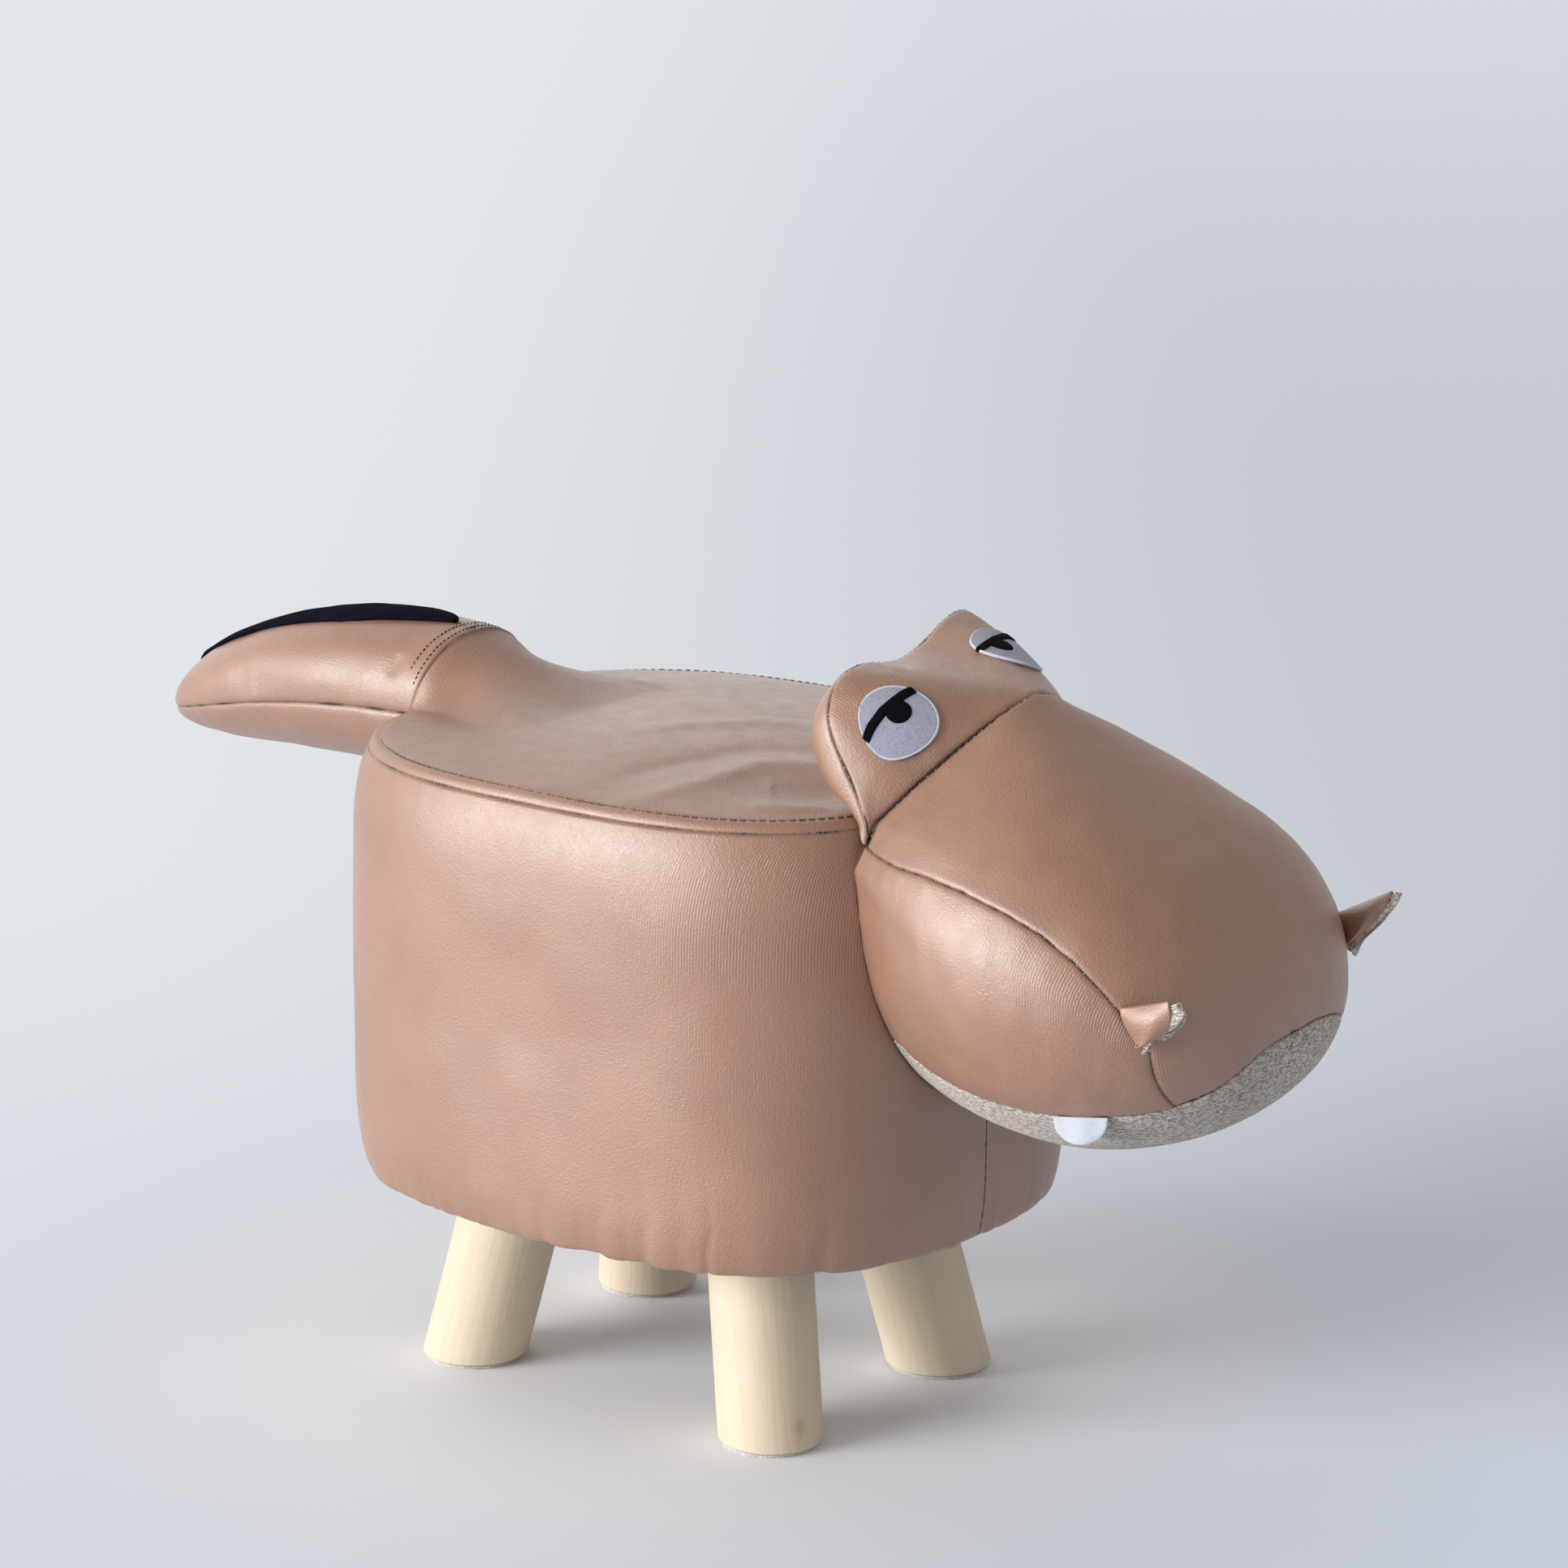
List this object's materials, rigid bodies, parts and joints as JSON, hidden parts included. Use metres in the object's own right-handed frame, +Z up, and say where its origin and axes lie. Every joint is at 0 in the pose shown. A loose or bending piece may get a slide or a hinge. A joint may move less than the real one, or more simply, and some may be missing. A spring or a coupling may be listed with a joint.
{
  "type": "footstool",
  "caption": "Padded footstool shaped like a hippo, leather covered, on round raked wooden legs.",
  "frame": {"origin": "centre of the bounding box's foot, on the floor", "axes": "+X towards the head, +Y towards the animal's left, +Z up"},
  "size_m": [0.6176, 0.2504, 0.345],
  "materials": {
    "tan_leather": "satin, fine grain",
    "beige_suede": "matte, pebbled",
    "black_felt": "matte felt",
    "white_felt": "matte felt",
    "eye_thread": "satin stitch",
    "pine": "clear, smooth",
    "plywood": "sanded",
    "hardboard": "smooth one side",
    "foam": "open cell",
    "fibre_fill": "loose fibre",
    "dust_cloth": "spunbond",
    "pad_felt": "pressed felt",
    "zinc_steel": "zinc plated"
  },
  "bodies": {
    "root": {"base_board": "plywood", "brow_panel": "tan_leather", "cheek_panel_left": "tan_leather", "cheek_panel_right": "tan_leather", "chin_panel": "beige_suede", "dust_cover": "dust_cloth", "eye_patch_left": "eye_thread", "eye_patch_right": "eye_thread", "flap_left": "tan_leather", "flap_lining_left": "beige_suede", "flap_lining_right": "beige_suede", "flap_right": "tan_leather", "hanger_bolt_front_left": "zinc_steel", "hanger_bolt_front_right": "zinc_steel", "hanger_bolt_rear_left": "zinc_steel", "hanger_bolt_rear_right": "zinc_steel", "head_back_panel": "tan_leather", "head_filling": "fibre_fill", "leg_front_left": "pine", "leg_front_right": "pine", "leg_pad_front_left": "pad_felt", "leg_pad_front_right": "pad_felt", "leg_pad_rear_left": "pad_felt", "leg_pad_rear_right": "pad_felt", "leg_rear_left": "pine", "leg_rear_right": "pine", "post_front": "pine", "post_left": "pine", "post_rear": "pine", "post_right": "pine", "seat_board": "plywood", "seat_cover": "tan_leather", "seat_foam": "foam", "side_cover": "tan_leather", "snout_panel": "tan_leather", "tail_filling": "fibre_fill", "tail_strip": "black_felt", "tail_under": "tan_leather", "tail_upper_left": "tan_leather", "tail_upper_right": "tan_leather", "tee_nut_front_left": "zinc_steel", "tee_nut_front_right": "zinc_steel", "tee_nut_rear_left": "zinc_steel", "tee_nut_rear_right": "zinc_steel", "tooth_left": "white_felt", "tooth_right": "white_felt", "wall_board": "hardboard", "wrap_foam": "foam"}
  },
  "joints": []
}
